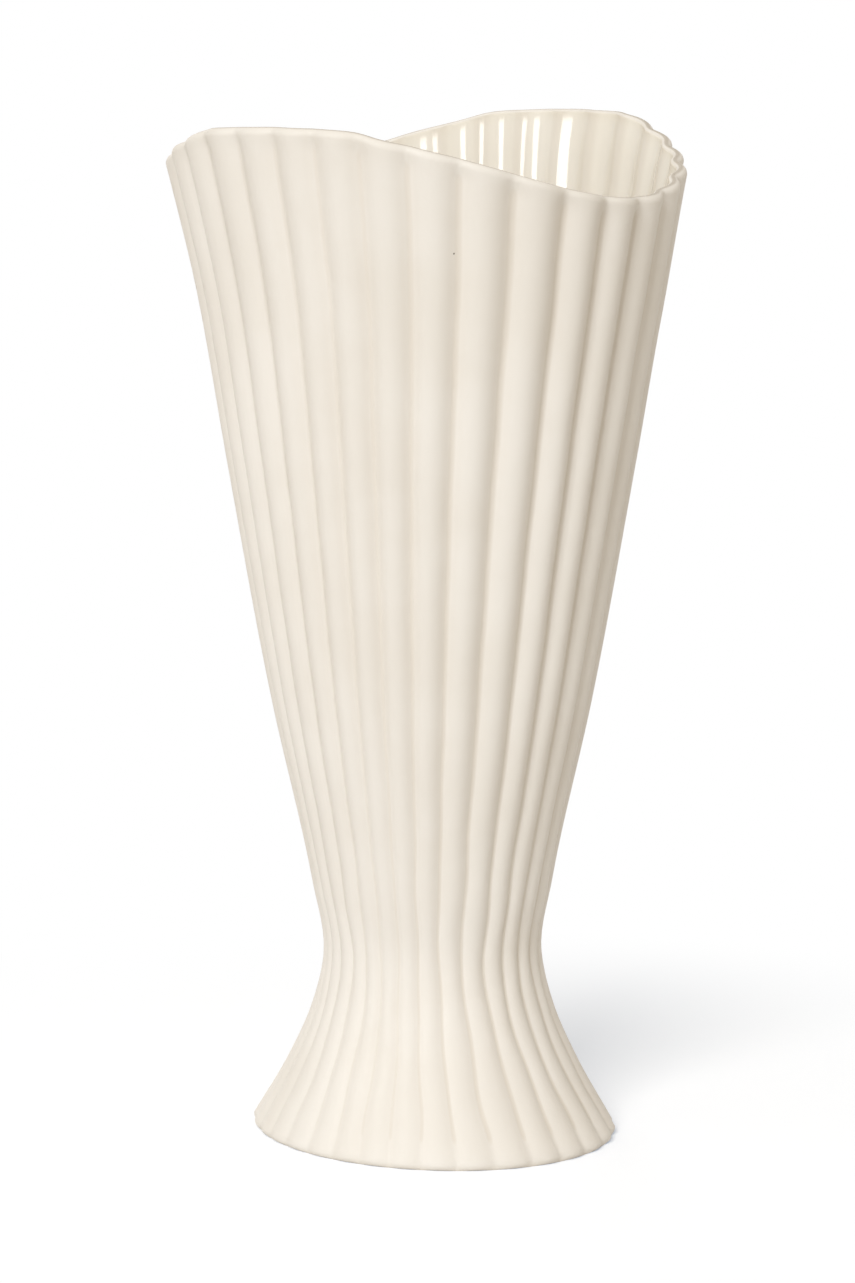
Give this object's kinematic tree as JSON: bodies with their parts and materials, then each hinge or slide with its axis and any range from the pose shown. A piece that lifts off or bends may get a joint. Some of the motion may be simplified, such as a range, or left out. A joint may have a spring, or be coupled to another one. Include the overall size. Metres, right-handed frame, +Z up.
{
  "type": "fan vase",
  "caption": "Tall fan vase: a reeded oval cup that flares to a saddle-shaped wavy lip, luted to a flared hollow foot and glazed inside to hold water and flowers.",
  "frame": {"origin": "on the table, under the middle of the foot", "axes": "+Z up; X along the oval mouth, through the two dips of the lip; Y across it, through the two peaks"},
  "size_m": [0.1562, 0.1432, 0.3],
  "materials": {
    "matte_stoneware": "matte",
    "gloss_glaze": "gloss",
    "fired_slip": "matte"
  },
  "bodies": {
    "root": {"fluted_cup": "matte_stoneware", "glaze_lining": "gloss_glaze", "joining_slip": "fired_slip", "pedestal_foot": "matte_stoneware"}
  },
  "joints": []
}
